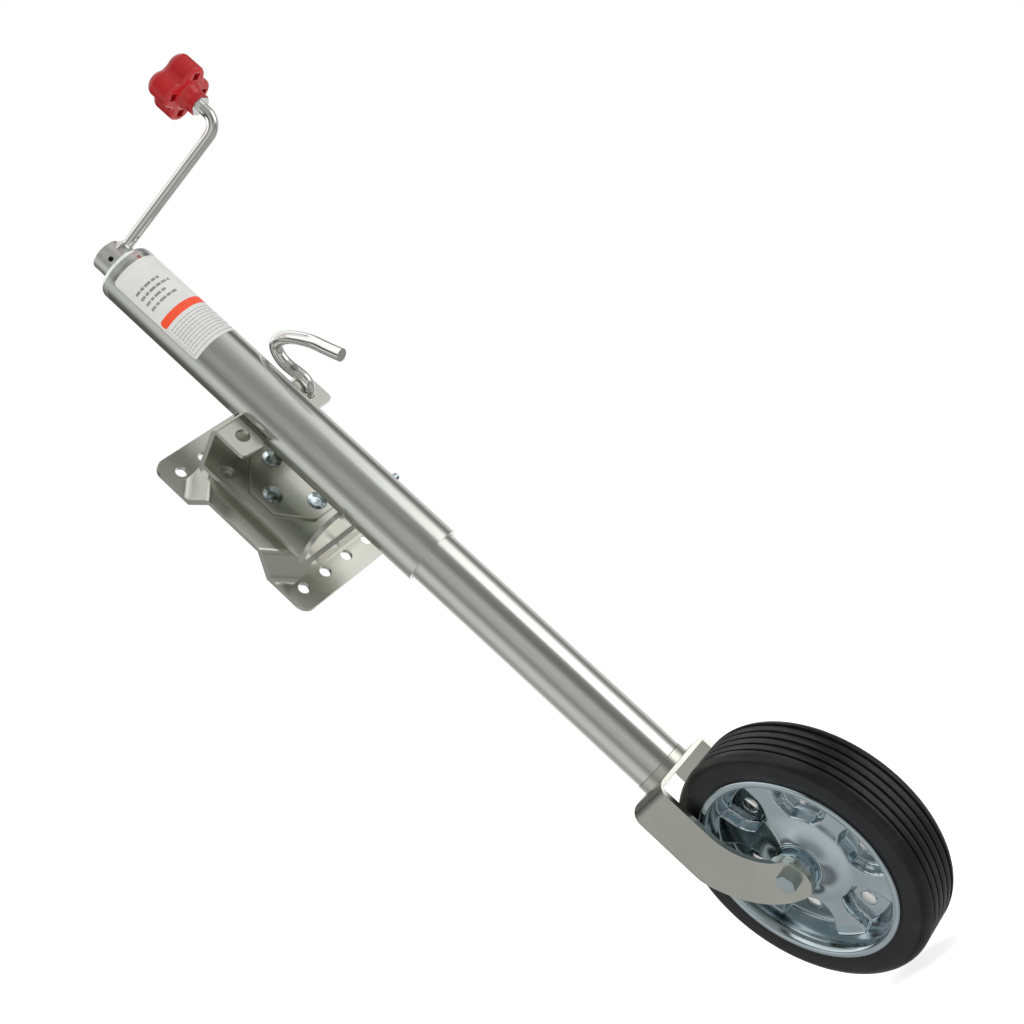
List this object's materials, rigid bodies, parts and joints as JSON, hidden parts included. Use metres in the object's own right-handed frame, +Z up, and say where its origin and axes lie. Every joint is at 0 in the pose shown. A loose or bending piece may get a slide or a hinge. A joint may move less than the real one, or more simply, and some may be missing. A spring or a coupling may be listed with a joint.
{
  "type": "trailer tongue jack",
  "caption": "Swing-away caster tongue jack for a trailer: cranked telescoping steel tube on a swivel bracket with a pull pin, and a rubber-tyred wheel in a swivelling fork.",
  "frame": {"origin": "centre of the back face of the mounting plate, where the pivot axis of the bracket crosses it", "axes": "+Z up along the tube, -Y out from the trailer's frame through the plate to the tube, +X to the right seen from the tube side"},
  "size_m": [0.1787, 0.2324, 0.874],
  "materials": {
    "steel_satin": "satin",
    "steel_tube": "satin",
    "steel_bright": "polished",
    "steel_blue": "satin",
    "steel_hidden": "machined",
    "rubber_black": "matte",
    "plastic_red": "semi-gloss",
    "label_film": "matte",
    "nylon": "matte"
  },
  "bodies": {
    "frame_side": {"mounting_plate": "steel_satin", "pivot_disc": "steel_blue", "retainer_plate": "steel_satin", "pivot_rivets": "steel_blue"},
    "jack": {"swivel_bracket": "steel_satin", "bracket_welds": "steel_tube", "outer_tube": "steel_tube", "guide_screw": "steel_blue", "guide_bush": "nylon", "tube_cap": "steel_tube", "label": "label_film", "bearing_seat": "steel_hidden", "upper_race": "steel_hidden", "thrust_balls": "steel_bright"},
    "crank": {"lower_race": "steel_hidden", "thrust_collar": "steel_hidden", "lead_screw": "steel_hidden", "crank_boss": "steel_bright", "roll_pin": "steel_bright", "crank_rod": "steel_bright", "rod_weld": "steel_bright", "knob_washer": "steel_bright", "knob_retainer": "steel_bright", "screw_stop": "steel_hidden"},
    "knob": {"crank_knob": "plastic_red"},
    "inner": {"inner_tube": "steel_tube", "wear_ring": "nylon", "lead_nut": "steel_hidden", "stem_plug": "steel_hidden", "swivel_stem": "steel_hidden"},
    "fork": {"fork": "steel_satin", "fork_collar": "steel_satin", "axle_bolt": "steel_blue", "axle_nut": "steel_blue", "axle_washer": "steel_blue", "axle_sleeve": "steel_hidden", "hub_spacers": "steel_blue"},
    "wheel": {"hub_tube": "steel_blue", "hub_bushes": "nylon", "tyre": "rubber_black", "rim_near": "steel_blue", "rim_far": "steel_blue", "rim_rivets": "steel_blue"},
    "lock_pin": {"pull_pin": "steel_bright", "pin_washer": "steel_bright", "pin_spring": "steel_bright"}
  },
  "joints": [
    {"name": "swing", "type": "hinge", "parent": "frame_side", "child": "jack", "pos_m": [0, -0.026, 0], "axis": [0, 1, 0], "range_deg": [0, 90]},
    {"name": "lift", "type": "slide", "parent": "jack", "child": "inner", "axis": [0, 0, 1], "range_m": [0, 0.235]},
    {"name": "crank_turn", "type": "hinge", "parent": "jack", "child": "crank", "pos_m": [0, -0.081, 0.2249], "axis": [0, 0, 1], "range_deg": [0, 16900]},
    {"name": "knob_spin", "type": "hinge", "parent": "crank", "child": "knob", "pos_m": [0.08474, -0.19594, 0.265], "axis": [0, 0, 1], "continuous": true},
    {"name": "fork_swivel", "type": "hinge", "parent": "inner", "child": "fork", "pos_m": [0, -0.081, -0.381], "axis": [0, 0, 1], "continuous": true},
    {"name": "wheel_spin", "type": "hinge", "parent": "fork", "child": "wheel", "pos_m": [-0.00178, -0.13197, -0.49], "axis": [0.9994, -0.0349, 0], "continuous": true},
    {"name": "pin_slide", "type": "slide", "parent": "jack", "child": "lock_pin", "axis": [0, -1, 0], "range_m": [-0.003, 0.004], "deforming": ["pin_spring"]}
  ],
  "couplings": [
    {"joint": "lift", "follows": "crank_turn", "m_per_rad": 0.00079577}
  ]
}
